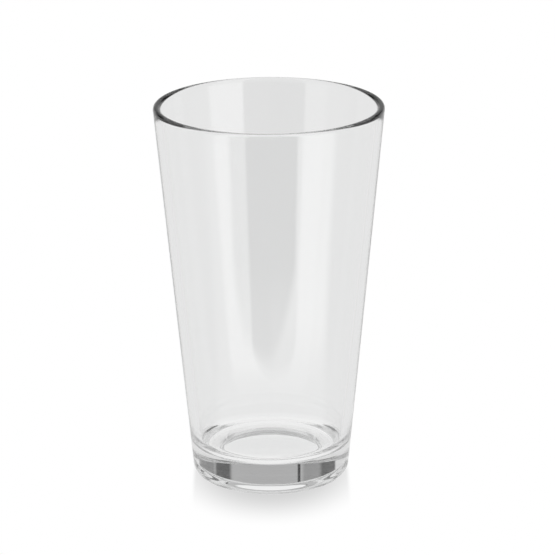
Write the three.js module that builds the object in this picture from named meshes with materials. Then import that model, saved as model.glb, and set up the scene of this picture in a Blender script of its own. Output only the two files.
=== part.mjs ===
// Mixing glass: one piece of clear pressed glass, open at the top, with a thick base.
// Millimetres, +Z up. The origin is on the table plane, at the middle of the base.
import * as THREE from 'three';

// ---- Driving dimensions ---------------------------------------------------
const height = 149.2;         // table plane to the crest of the lip
const rimRadius = 44.5;       // outer wall line where it meets the crest plane
const baseRadius = 30.5;      // outer wall line carried down to the table plane
const rimWall = 2.9;          // wall thickness at the crest plane, measured level
const floorWall = 3.8;        // wall thickness at the level of the inside floor
const floorLevel = 11.7;      // inside floor above the table plane
const cornerReach = 6.0;      // inside corner: how far it comes in over the floor
const cornerRise = 6.0;       // inside corner: how far it climbs the wall
const heelReach = 3.0;        // outside foot rounding, measured inward
const heelRise = 3.0;         // outside foot rounding, measured upward
const puntRadius = 21.0;      // recess under the base, at the bearing ring
const puntShoulder = 2.0;     // width of the slope at the edge of the recess
const puntRise = 2.7;         // depth of the recess
const lipOuterReach = 1.45;   // outer wall to the crest of the lip
const lipDrop = 1.45;         // height of the lip's rounding, inside and outside

// ---- Fineness of the facets ------------------------------------------------
const sidesAround = 96;
const curveSteps = { shoulder: 4, heel: 6, lip: 5, corner: 7 };

// ---- Outline helpers ---------------------------------------------------------
const at = (radius, level) => new THREE.Vector2(radius, level);
const floorInnerRadius = baseRadius + ((rimRadius - baseRadius) * floorLevel) / height - floorWall;
const rimInnerRadius = rimRadius - rimWall;

function outerRadiusAt(level) {
  return baseRadius + ((rimRadius - baseRadius) * level) / height;
}

function innerRadiusAt(level) {
  const share = (level - floorLevel) / (height - floorLevel);
  return floorInnerRadius + (rimInnerRadius - floorInnerRadius) * share;
}

// A quarter of an ellipse that leaves a wall line smoothly and ends level. A positive rise
// stands the curve on its level end, and a positive reach brings the level end inward.
function roundedEnd(wallRadiusAt, endLevel, rise, reach, steps) {
  const points = [];
  for (let step = 0; step <= steps; step += 1) {
    const angle = (Math.PI / 2) * (step / steps);
    const level = endLevel + rise * (1 - Math.sin(angle));
    points.push(at(wallRadiusAt(level) - reach * (1 - Math.cos(angle)), level));
  }
  return points;
}

// The recess under the base: level in the middle, easing down to the bearing ring.
function recess(steps) {
  const points = [at(0, puntRise)];
  for (let step = 0; step <= steps; step += 1) {
    const share = step / steps;
    const fall = share * share * (3 - 2 * share);
    points.push(at(puntRadius - puntShoulder * (1 - share), puntRise * (1 - fall)));
  }
  return points;
}

// ---- The glass ---------------------------------------------------------------
function glassOutline() {
  const lipInnerReach = rimWall - lipOuterReach;
  const heel = roundedEnd(outerRadiusAt, 0, heelRise, heelReach, curveSteps.heel).reverse();
  const lipOutside = roundedEnd(outerRadiusAt, height, -lipDrop, lipOuterReach, curveSteps.lip);
  const lipInside = roundedEnd(
    innerRadiusAt, height, -lipDrop, -lipInnerReach, curveSteps.lip).reverse();
  const corner = roundedEnd(
    innerRadiusAt, floorLevel, cornerRise, cornerReach, curveSteps.corner);

  return [
    ...recess(curveSteps.shoulder),
    ...heel,
    ...lipOutside,
    ...lipInside.slice(1),
    ...corner,
    at(0, floorLevel),
  ];
}

function mixingGlass() {
  const geometry = new THREE.LatheGeometry(glassOutline(), sidesAround);
  geometry.rotateX(Math.PI / 2);
  const clearGlass = new THREE.MeshStandardMaterial({
    color: 0xeef1f1,
    roughness: 0.03,
    metalness: 0.0,
    transparent: true,
    opacity: 0.35,
  });
  const glass = new THREE.Mesh(geometry, clearGlass);
  glass.name = 'glass_body';
  return glass;
}

const part = new THREE.Group();
part.add(mixingGlass());

export default part;
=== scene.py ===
# %% [markdown]
# # A pressed mixing glass
# This script dresses one bar glass. The glass is a single piece of clear pressed glass, a
# little wider at the lip than at the foot, with a thick base. The measured body of the glass
# is loaded first as a fixed frame, and everything made here is fitted to it, in metres.

# %% Load the measured body
import math

import bpy
from mathutils import Matrix, Vector


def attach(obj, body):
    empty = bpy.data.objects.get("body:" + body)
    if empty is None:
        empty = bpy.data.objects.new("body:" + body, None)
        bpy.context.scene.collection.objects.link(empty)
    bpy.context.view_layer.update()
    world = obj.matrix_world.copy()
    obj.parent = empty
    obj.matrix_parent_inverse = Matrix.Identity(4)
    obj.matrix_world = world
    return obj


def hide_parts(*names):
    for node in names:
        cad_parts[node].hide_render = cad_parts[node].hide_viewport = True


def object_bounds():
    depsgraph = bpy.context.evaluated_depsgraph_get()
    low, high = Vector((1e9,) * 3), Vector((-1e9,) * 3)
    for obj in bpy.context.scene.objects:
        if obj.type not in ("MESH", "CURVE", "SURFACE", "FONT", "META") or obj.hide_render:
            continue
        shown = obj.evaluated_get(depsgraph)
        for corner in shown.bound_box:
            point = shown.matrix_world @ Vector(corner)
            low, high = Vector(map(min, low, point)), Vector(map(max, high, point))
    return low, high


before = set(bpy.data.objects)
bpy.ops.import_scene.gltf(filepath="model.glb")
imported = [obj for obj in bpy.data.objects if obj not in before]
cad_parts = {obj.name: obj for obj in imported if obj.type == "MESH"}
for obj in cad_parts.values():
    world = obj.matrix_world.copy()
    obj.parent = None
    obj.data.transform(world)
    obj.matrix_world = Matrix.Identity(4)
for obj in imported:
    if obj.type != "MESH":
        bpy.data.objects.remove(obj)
cad_lo, cad_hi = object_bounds()
print("measured body, mm:", [round(1000 * (b - a), 2) for a, b in zip(cad_lo, cad_hi)])

# %% [markdown]
# ## The camera
# A product view of a glass is taken from a little above, with a long lens, so that the rim
# reads as an even ellipse and the two sides stay straight. A short lens would be easier to
# place, but it would spread the rim and shrink the foot. So the camera stands more than a
# metre away and looks down by about eighteen degrees. It is aimed a touch beside and above
# the middle of the glass, which sets the glass low in the frame, and it leans by a third of
# a degree, as a camera on a real stand does.

# %% Place the camera
scene = bpy.context.scene
MIDDLE = Vector((0, 0, (cad_lo.z + cad_hi.z) / 2))
CAMERA_DISTANCE = 1.100
LOOK_DOWN = math.radians(18.35)
AIM_RIGHT = math.radians(0.154)
AIM_UP = math.radians(0.247)
LEAN = math.radians(-0.36)
LENS_MM = 182.7
SENSOR_MM = 36.0
SIGHT_METRES = 100.0


def make_camera():
    data = bpy.data.cameras.new("studio_camera")
    data.lens = LENS_MM
    data.sensor_width = SENSOR_MM
    data.clip_end = SIGHT_METRES
    camera = bpy.data.objects.new("studio_camera", data)
    scene.collection.objects.link(camera)
    back = Vector((0, -math.cos(LOOK_DOWN), math.sin(LOOK_DOWN)))
    aim = (
        Matrix.Rotation(math.pi / 2 - LOOK_DOWN, 4, "X")
        @ Matrix.Rotation(-AIM_RIGHT, 4, "Y")
        @ Matrix.Rotation(AIM_UP, 4, "X")
        @ Matrix.Rotation(LEAN, 4, "Z")
    )
    camera.matrix_world = Matrix.Translation(MIDDLE + CAMERA_DISTANCE * back) @ aim
    scene.camera = camera
    return camera


camera = make_camera()
print("camera at, m:", [round(c, 3) for c in camera.matrix_world.translation])

# %% [markdown]
# ## The outline of the glass
# A pressed glass is a solid of revolution: half of its cross-section, turned about the middle.
# The outline could be drawn by hand or cut from the measured body, but that body is made of
# flat facets. Here it is worked out again from the maker's sizes, with every rounding as a
# true curve: the shallow recess under the base, which glass makers call the punt, the bearing
# ring that it leaves, the heel, the straight outer wall, the lip, the inside wall, and the soft
# corner round the inside floor. The height and the widest radius come from the measured body,
# so the two always agree. Where the outline is level, a few rings are drawn close to its ends,
# because smooth shading over one long step would bend the light as a shallow cone does.

# %% Sizes of the glass, in millimetres
HEIGHT = 1000 * (cad_hi.z - cad_lo.z)
WIDEST_RADIUS = 1000 * cad_hi.x
BASE_RADIUS = 30.5
RIM_WALL = 2.9
FLOOR_WALL = 3.8
FLOOR_LEVEL = 11.7
CORNER_REACH = 6.0
CORNER_RISE = 6.0
HEEL_REACH = 3.0
HEEL_RISE = 3.0
PUNT_RADIUS = 21.0
PUNT_RISE = 2.7
PUNT_SHOULDER = 2.0
LIP_OUTER_REACH = 1.45
LIP_DROP = 1.45
RIM_RADIUS = BASE_RADIUS + (WIDEST_RADIUS - BASE_RADIUS) * HEIGHT / (HEIGHT - LIP_DROP)
CURVE_STEPS = 14
WALL_STEPS = 40
LEVEL_STEPS = (0.0, 0.5, 0.8, 0.95, 0.99)


def outer_radius(level):
    return BASE_RADIUS + (RIM_RADIUS - BASE_RADIUS) * level / HEIGHT


def inner_radius(level):
    at_floor = outer_radius(FLOOR_LEVEL) - FLOOR_WALL
    at_rim = RIM_RADIUS - RIM_WALL
    return at_floor + (at_rim - at_floor) * (level - FLOOR_LEVEL) / (HEIGHT - FLOOR_LEVEL)


def steps(count):
    return [step / count for step in range(count + 1)]


# %% The stretches of the outline
def punt_curve():
    """A level recess whose edge eases down to the bearing ring."""
    for share in LEVEL_STEPS:
        yield share * (PUNT_RADIUS - PUNT_SHOULDER), PUNT_RISE
    for share in steps(CURVE_STEPS):
        ease = share * share * (3 - 2 * share)
        yield PUNT_RADIUS - PUNT_SHOULDER * (1 - share), PUNT_RISE * (1 - ease)


def heel_curve():
    """A quarter of an ellipse from the bearing ring up to the outer wall."""
    for share in steps(CURVE_STEPS):
        turn = math.pi / 2 * share
        level = HEEL_RISE * (1 - math.cos(turn))
        yield outer_radius(level) - HEEL_REACH * (1 - math.sin(turn)), level


def rounded_end(wall_radius, end_level, drop, reach, rising):
    """A quarter of an ellipse that leaves a wall smoothly and ends level."""
    for share in steps(CURVE_STEPS):
        turn = math.pi / 2 * (share if rising else 1 - share)
        level = end_level - drop * (1 - math.sin(turn))
        yield wall_radius(level) + reach * (1 - math.cos(turn)), level


def straight_wall(wall_radius, start_level, end_level):
    """The points between the two ends of a straight wall."""
    for share in steps(WALL_STEPS)[1:-1]:
        level = start_level + (end_level - start_level) * share
        yield wall_radius(level), level


# %% The whole outline, from the middle of the punt round to the middle of the floor
def outline():
    lip_inner_reach = RIM_WALL - LIP_OUTER_REACH
    lip_foot = HEIGHT - LIP_DROP
    points = list(punt_curve())
    points += heel_curve()
    points += straight_wall(outer_radius, HEEL_RISE, lip_foot)
    points += rounded_end(outer_radius, HEIGHT, LIP_DROP, -LIP_OUTER_REACH, True)
    points += list(rounded_end(inner_radius, HEIGHT, LIP_DROP, lip_inner_reach, False))[1:]
    points += straight_wall(inner_radius, lip_foot, FLOOR_LEVEL + CORNER_RISE)
    points += rounded_end(inner_radius, FLOOR_LEVEL, -CORNER_RISE, -CORNER_REACH, True)
    floor_radius = points[-1][0]
    points += [(share * floor_radius, FLOOR_LEVEL) for share in reversed(LEVEL_STEPS)]
    return points


section = outline()
print("outline points:", len(section), "widest radius, mm:", round(max(section)[0], 3))

# %% [markdown]
# ## Writing node trees as sums
# Node trees are easiest to read when they look like arithmetic. The class below wraps one
# output of a node, so that `1 - mask * 2` adds the Math nodes by itself. Every other kind of
# node comes from one method, which takes the node's type, its settings and what goes into it.

# %% A graph and its wires
class Wire:
    """One output of a node. Sums written with it add Math nodes to its graph."""

    def __init__(self, graph, socket):
        self.graph = graph
        self.socket = socket

    def maths(self, operation, a, b=0.0):
        return self.graph.node("ShaderNodeMath", {"operation": operation}, i0=a, i1=b)[0]

    def __add__(self, other):
        return self.maths("ADD", self, other)

    def __sub__(self, other):
        return self.maths("SUBTRACT", self, other)

    def __rsub__(self, other):
        return self.maths("SUBTRACT", other, self)

    def __mul__(self, other):
        return self.maths("MULTIPLY", self, other)

    def __truediv__(self, other):
        return self.maths("DIVIDE", self, other)

    def __rtruediv__(self, other):
        return self.maths("DIVIDE", other, self)

    __radd__ = __add__
    __rmul__ = __mul__


class Graph:
    """A node tree with one way to add a node, and three ways to fade from one place to another."""

    def __init__(self, tree):
        self.tree = tree

    def node(self, kind, settings=None, **inputs):
        """Add a node. An input is given by its name, or by i and its number."""
        added = self.tree.nodes.new(kind)
        for name, value in (settings or {}).items():
            setattr(added, name, value)
        for name, value in inputs.items():
            key = int(name[1:]) if name[1:].isdigit() else name.replace("_", " ")
            if isinstance(value, Wire):
                self.tree.links.new(value.socket, added.inputs[key])
            else:
                added.inputs[key].default_value = value
        return [Wire(self, socket) for socket in added.outputs if socket.enabled]

    def ease(self, value, start, end):
        """From 0 at start to 1 at end, with soft ends."""
        return self.node("ShaderNodeMapRange", {"interpolation_type": "SMOOTHSTEP"},
                         Value=value, i1=start, i2=end)[0]

    def past(self, value, edge, soft):
        """0 before the edge and 1 past it, with an edge of that softness to either side."""
        return self.ease(value, edge - soft, edge + soft)

    def between(self, value, low, high, soft):
        """1 between low and high, and 0 outside, with soft edges."""
        return self.past(value, low, soft) * (1.0 - self.past(value, high, soft))


# %% [markdown]
# ## Turning the outline
# The outline becomes a body by turning it about the middle. Screw or Spin would do it in one
# step, but the sizes would then be buried in the result. A small node tree keeps the rule in
# view: it lays out a grid with one row for each step of the turn and one column for each
# point of the outline, and then winds the grid round the axis. Merging closes the seam and
# the two poles. A very slight unevenness is added on the way, because pressed glass is never
# quite true: the mould leaves long, shallow waves that bend what is seen through the wall.

# %% The turning tree
SIDES_AROUND = 256
WELD_DISTANCE = 1e-6
TURN_INPUTS = {
    "Sides": ("NodeSocketInt", SIDES_AROUND),
    "Wave depth": ("NodeSocketFloat", 0.00003),
    "Wave size": ("NodeSocketFloat", 0.030),
    "Wave seed": ("NodeSocketFloat", 7.0),
}


def turning_tree(material):
    tree = bpy.data.node_groups.new("turn_outline", "GeometryNodeTree")
    tree.interface.new_socket("Outline", in_out="INPUT", socket_type="NodeSocketGeometry")
    for name, (kind, _) in TURN_INPUTS.items():
        tree.interface.new_socket(name, in_out="INPUT", socket_type=kind)
    tree.interface.new_socket("Body", in_out="OUTPUT", socket_type="NodeSocketGeometry")
    graph = Graph(tree)
    given = dict(zip(["Outline", *TURN_INPUTS], graph.node("NodeGroupInput")))
    sides = given["Sides"]
    across = graph.node("GeometryNodeAttributeDomainSize", Geometry=given["Outline"])[0]
    grid = graph.node("GeometryNodeMeshGrid", Vertices_X=sides + 1.0, Vertices_Y=across)[0]
    index = graph.node("GeometryNodeInputIndex")[0]
    column = index.maths("FLOOR", (index + 0.5) / across)
    row = index - column * across
    drawn = graph.node("GeometryNodeInputPosition")[0]
    point = graph.node("GeometryNodeSampleIndex", {"data_type": "FLOAT_VECTOR"},
                       Geometry=given["Outline"], Value=drawn, Index=row)[0]
    turned = graph.node("ShaderNodeVectorRotate", {"rotation_type": "Z_AXIS"},
                        Vector=point, Angle=column / sides * (2 * math.pi))[0]
    noise = graph.node("ShaderNodeTexNoise", {"noise_dimensions": "4D"}, Vector=turned,
                       W=given["Wave seed"], Scale=1.0 / given["Wave size"], Detail=1.0)[0]
    swell = (noise - 0.5) * given["Wave depth"]
    level_out = graph.node("ShaderNodeVectorMath", {"operation": "MULTIPLY"},
                           i0=turned, i1=(1.0, 1.0, 0.0))[0]
    outward = graph.node("ShaderNodeVectorMath", {"operation": "NORMALIZE"}, i0=level_out)[0]
    push = graph.node("ShaderNodeVectorMath", {"operation": "SCALE"}, i0=outward, Scale=swell)[0]
    wound = graph.node("GeometryNodeSetPosition", Geometry=grid, Position=turned, Offset=push)[0]
    welded = graph.node("GeometryNodeMergeByDistance", Geometry=wound, Distance=WELD_DISTANCE)[0]
    smooth = graph.node("GeometryNodeSetShadeSmooth", Geometry=welded)[0]
    real = graph.node("GeometryNodeRealizeInstances", Geometry=smooth)[0]
    dressed = graph.node("GeometryNodeSetMaterial", Geometry=real, Material=material)[0]
    graph.node("NodeGroupOutput", Body=dressed)
    return tree


# %% [markdown]
# ## Clear pressed glass
# The glass is clear soda-lime glass, fire-polished, so its skin is as smooth as a liquid. A
# flat white transparent colour would never look right: what makes glass visible is how it
# bends and mirrors the room. So the shader is plain dielectric glass with the index of
# soda-lime, and its faint grey comes from the inside, by absorption, which deepens where the
# glass is thick. Over that lie three things that real glass has: a slight haze of handling
# marks, which only roughens the gloss here and there, very fine ripples from the mould in the
# bump, and a colour that is not quite even.

# %% The glass finish
GLASS_INDEX = 1.50
ABSORPTION_PER_METRE = 2.5
HAZE_SCALE = 55.0
HAZE_STARTS = 0.55
HAZE_FULL = 0.80
HAZE_ROUGHNESS = 0.012
RIPPLE_SCALE = 140.0
RIPPLE_STRETCH = (1.0, 1.0, 0.25)
RIPPLE_STRENGTH = 0.02
RIPPLE_HEIGHT = 0.0002
MELT_SCALE = 18.0
MELT_COOL = (0.992, 0.996, 0.995, 1.0)
MELT_CLEAR = (1.0, 1.0, 1.0, 1.0)


def clear_glass():
    material = bpy.data.materials.new("clear_glass")
    material.use_nodes = True
    material.node_tree.nodes.clear()
    graph = Graph(material.node_tree)
    here = graph.node("ShaderNodeTexCoord")[3]
    marks = graph.node("ShaderNodeTexNoise", Vector=here, Scale=HAZE_SCALE, Detail=3.0)[0]
    haze = graph.node("ShaderNodeMapRange", Value=marks, i1=HAZE_STARTS, i2=HAZE_FULL,
                      i3=0.0, i4=HAZE_ROUGHNESS)[0]
    stretched = graph.node("ShaderNodeMapping", Vector=here, Scale=RIPPLE_STRETCH)[0]
    ripple = graph.node("ShaderNodeTexNoise", Vector=stretched, Scale=RIPPLE_SCALE,
                        Detail=1.0)[0]
    bent = graph.node("ShaderNodeBump", Height=ripple, Strength=RIPPLE_STRENGTH,
                      Distance=RIPPLE_HEIGHT)[0]
    melt = graph.node("ShaderNodeTexNoise", Vector=here, Scale=MELT_SCALE, Detail=1.0)[0]
    tint = graph.node("ShaderNodeMix", {"data_type": "RGBA"}, i0=melt,
                      i6=MELT_COOL, i7=MELT_CLEAR)[0]
    skin = graph.node("ShaderNodeBsdfPrincipled", Base_Color=tint, Roughness=haze, Normal=bent,
                      IOR=GLASS_INDEX, Transmission_Weight=1.0)[0]
    depth = graph.node("ShaderNodeVolumeAbsorption", Color=(0.0, 0.0, 0.0, 1.0),
                       Density=ABSORPTION_PER_METRE)[0]
    graph.node("ShaderNodeOutputMaterial", Surface=skin, Volume=depth)
    return material


glass_finish = clear_glass()
print("glass nodes:", len(glass_finish.node_tree.nodes))


# %% [markdown]
# ## The glass itself
# The outline is drawn as a plain run of edges in the X-Z plane, the tree turns it, and the
# result is kept as an ordinary mesh, so that nothing is left to evaluate later.

# %% Turn the glass and put it in place of the measured body
def drawn_outline(points):
    """The outline as a run of edges, in metres."""
    mesh = bpy.data.meshes.new("outline")
    corners = [(radius / 1000, 0.0, level / 1000) for radius, level in points]
    mesh.from_pydata(corners, [(i, i + 1) for i in range(len(corners) - 1)], [])
    outline_object = bpy.data.objects.new("outline", mesh)
    scene.collection.objects.link(outline_object)
    return outline_object


def turned_body(name, points, material):
    """The outline turned into a plain mesh object."""
    blank = drawn_outline(points)
    turner = blank.modifiers.new("turn", "NODES")
    turner.node_group = turning_tree(material)
    for socket in turner.node_group.interface.items_tree:
        if socket.name in TURN_INPUTS and socket.in_out == "INPUT":
            turner[socket.identifier] = TURN_INPUTS[socket.name][1]
    evaluated = blank.evaluated_get(bpy.context.evaluated_depsgraph_get())
    mesh = bpy.data.meshes.new_from_object(evaluated)
    blank.modifiers.clear()
    bpy.data.objects.remove(blank)
    body = bpy.data.objects.new(name, mesh)
    mesh.name = name
    scene.collection.objects.link(body)
    return body


def enclosed_volume(mesh):
    """In cubic metres, and below zero when the faces point inwards."""
    mesh.calc_loop_triangles()
    corners = [vertex.co for vertex in mesh.vertices]
    return sum(corners[a].dot(corners[b].cross(corners[c])) / 6
               for a, b, c in (triangle.vertices for triangle in mesh.loop_triangles))


glass = turned_body("mixing_glass", section, glass_finish)
if enclosed_volume(glass.data) < 0:
    glass.data.flip_normals()
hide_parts("glass_body")
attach(glass, "root")
print("glass, cubic centimetres:", round(enclosed_volume(glass.data) * 1e6, 2),
      "faces:", len(glass.data.polygons))

# %% [markdown]
# ## The floor
# The glass stands on a plain pale sheet that runs out of sight, so no edge of it shows. A lit
# white sheet would need lamps, and each lamp would show again in the glass. So the sheet glows
# by itself. The camera sees it as white. For light that has met the glass it is a little
# greyer, because that is what separates clear glass from its background. Places on it are
# given from the middle of the foot: a distance, and a turn in degrees from straight behind the
# glass.

# %% Tones of the sheet behind, beside and under the glass
SHEET_BEHIND = 0.80
SHEET_BESIDE = 0.85
BESIDE_TURN = (75.0, 100.0)
SHEET_UNDER_FOOT = 0.90
FOOT_EDGE = (32.0, 46.0)


def back_sheet(graph, aside):
    """The tone behind the glass, passing into the tone beside it."""
    return SHEET_BEHIND + graph.ease(aside, *BESIDE_TURN) * (SHEET_BESIDE - SHEET_BEHIND)


# %% [markdown]
# In front of a real glass lies the dim patch that a camera and its stand leave on the table,
# with a brighter wedge on either side of it. The wall mirrors them as one dark stripe between
# two pale ones, which is what makes it look hard and polished. The patch has no sharp near
# end, and its left side is bent outward some way from the middle.

# %% The lit wedges and the dim patch, in millimetres and degrees
SHEET_IN_FRONT = 1.12
IN_FRONT_REACH = (100.0, 170.0)
WEDGE_RIGHT = {"lit from": 112.0, "dim from": 152.0, "tone": 1.75}
WEDGE_LEFT = {"lit from": 114.0, "dim from": 140.0, "tone": 1.15}
WEDGE_SOFT = 4.0
PATCH_SIDE_SOFT = 2.0
PATCH_START = 131.0
PATCH_START_SOFT = 8.0
PATCH_LEFT_BEND = 80.0
PATCH_SPREAD = 0.55
PATCH_DEEPENS = (135.0, 230.0)
PATCH_NEAR = 0.55
PATCH_FAR = 0.90
MIDDLE_SOFT = 1.0


def patch_depth(graph, x, y, away):
    """How dim the patch is at a place, before its two sides are cut."""
    bend = x.maths("MAXIMUM", x, 0.0 - x - PATCH_LEFT_BEND)
    bend = x.maths("MAXIMUM", bend, 0.0)
    ahead = 0.0 - y - bend * PATCH_SPREAD
    deep = PATCH_NEAR + graph.ease(away, *PATCH_DEEPENS) * (PATCH_FAR - PATCH_NEAR)
    return graph.past(ahead, PATCH_START, PATCH_START_SOFT) * deep


def sheet_in_glass(graph, x, y):
    """The tone of the sheet for light that has met the glass."""
    turn = x.maths("ARCTAN2", x, y) * math.degrees(1)
    aside = turn.maths("ABSOLUTE", turn)
    away = x.maths("SQRT", x * x + y * y)
    right = graph.past(x, 0.0, MIDDLE_SOFT)
    near = 1.0 - graph.ease(away, *IN_FRONT_REACH)
    sheet = back_sheet(graph, aside)
    patch = 0.0
    for side, wedge in ((right, WEDGE_RIGHT), (1.0 - right, WEDGE_LEFT)):
        lit = wedge["tone"] + near * (SHEET_IN_FRONT - wedge["tone"])
        sheet = sheet + side * graph.past(aside, wedge["lit from"], WEDGE_SOFT) * (lit - sheet)
        patch = side * graph.past(aside, wedge["dim from"], PATCH_SIDE_SOFT) + patch
    sheet = sheet * (1.0 - patch * patch_depth(graph, x, y, away))
    return SHEET_UNDER_FOOT + graph.ease(away, *FOOT_EDGE) * (sheet - SHEET_UNDER_FOOT)


# %% [markdown]
# The glass also needs a soft shade under its front edge, or it seems to float. It is as wide
# as the foot, darkest in the middle, and dies away towards the front.

# %% The shade in front of the foot, in millimetres
SHADE_HALF_WIDTH = BASE_RADIUS
SHADE_SIDE_SOFT = 1.0
SHADE_SQUEEZE = 1.4
SHADE_FADES = (25.0, 61.0)
SHADE_FRONT = (-6.0, 4.0)
SHADE_DEPTH = 0.35


def foot_shade(graph, x, y):
    """How much of the white is taken away in front of the foot."""
    off_foot = x.maths("SQRT", x * x * SHADE_SQUEEZE ** 2 + y * y)
    fading = 1.0 - graph.ease(off_foot, *SHADE_FADES)
    in_front = graph.ease(0.0 - y, *SHADE_FRONT)
    across = graph.between(x, -SHADE_HALF_WIDTH, SHADE_HALF_WIDTH, SHADE_SIDE_SOFT)
    return fading * in_front * across * SHADE_DEPTH


# %% Lay the floor
FLOOR_HALF_METRES = 12.0
FLOOR_GAP_METRES = 0.00005


def floor_finish():
    material = bpy.data.materials.new("pale_floor")
    material.use_nodes = True
    material.node_tree.nodes.clear()
    graph = Graph(material.node_tree)
    here = graph.node("ShaderNodeTexCoord")[3]
    x, y, _ = graph.node("ShaderNodeSeparateXYZ", Vector=here)
    x, y = x * 1000.0, y * 1000.0
    in_glass = sheet_in_glass(graph, x, y)
    to_camera = graph.node("ShaderNodeLightPath")[0]
    seen = in_glass + to_camera * (1.0 - foot_shade(graph, x, y) - in_glass)
    glow = graph.node("ShaderNodeEmission", Color=seen)[0]
    graph.node("ShaderNodeOutputMaterial", Surface=glow)
    return material


def lay_floor():
    mesh = bpy.data.meshes.new("floor")
    level = cad_lo.z - FLOOR_GAP_METRES
    reach = FLOOR_HALF_METRES
    corners = [(-reach, -reach, level), (reach, -reach, level),
               (reach, reach, level), (-reach, reach, level)]
    mesh.from_pydata(corners, [], [(0, 1, 2, 3)])
    mesh.materials.append(floor_finish())
    floor = bpy.data.objects.new("floor", mesh)
    scene.collection.objects.link(floor)
    print("floor nodes:", len(mesh.materials[0].node_tree.nodes))


lay_floor()

# %% [markdown]
# ## The studio round it
# Glass shows its surroundings more than itself, so the light is the real work. Lamps and
# cards could stand round the glass, but then some of them would stand in the way of a camera
# on the other side. So the studio is painted on the far dome instead, by direction: white
# walls all round, a grey screen behind the glass, dark cards at both edges of the screen, one
# thin dark strip and one small card on it, and a dim ceiling towards the back. The thick base
# gathers that screen into one grey band with dark ends. The camera itself sees a plain wall.

# %% Paint the studio
STUDIO_STRENGTH = 0.8
WALLS = 0.95
# Each card: left, right, low and high edge, softness of its edges (degrees), and its tone.
CARDS = {
    "screen": (-24.0, 27.0, 6.0, 28.0, 3.0, 0.55),
    "left edge": (-31.0, -17.5, 10.0, 26.5, 1.4, 0.36),
    "left card": (-46.0, -30.0, 10.0, 26.5, 1.8, 0.10),
    "right edge": (23.0, 36.0, 10.0, 26.5, 1.8, 0.08),
    "right card": (36.0, 60.0, 10.0, 26.5, 2.4, 0.28),
    "thin strip": (-15.8, -14.2, 10.0, 27.0, 0.4, 0.02),
    "small card": (2.0, 12.0, 27.0, 34.0, 1.5, 0.06),
    "ceiling": (-75.0, 75.0, 52.0, 95.0, 8.0, 0.35),
}


def studio():
    world = bpy.data.worlds.new("studio")
    scene.world = world
    world.use_nodes = True
    world.node_tree.nodes.clear()
    graph = Graph(world.node_tree)
    look = graph.node("ShaderNodeTexCoord")[0]
    x, y, z = graph.node("ShaderNodeSeparateXYZ", Vector=look)
    turn = x.maths("ARCTAN2", x, y) * math.degrees(1)
    rise = z.maths("ARCSINE", z) * math.degrees(1)
    tone = WALLS
    for left, right, low, high, soft, card in CARDS.values():
        covers = graph.between(turn, left, right, soft) * graph.between(rise, low, high, soft)
        tone = tone - covers * (tone - card)
    to_camera = graph.node("ShaderNodeLightPath")[0]
    shown = tone + to_camera * (1.0 - tone)
    light = graph.node("ShaderNodeBackground", Color=shown, Strength=STUDIO_STRENGTH)[0]
    graph.node("ShaderNodeOutputWorld", Surface=light)
    print("studio cards:", len(CARDS))


studio()

# %% [markdown]
# ## Following the light
# Light has to pass many glass faces before it is spent, and inside the lip and the base it is
# mirrored again and again, so the bounces are raised. Fewer would be quicker, but would leave
# black specks where the light was cut off. The plain view transform keeps a white floor white.

# %% Set how the light is followed and shown
scene.view_settings.view_transform = "Standard"
BOUNCES = 64
scene.cycles.max_bounces = BOUNCES
scene.cycles.transmission_bounces = BOUNCES
scene.cycles.glossy_bounces = BOUNCES
scene.cycles.use_denoising = True
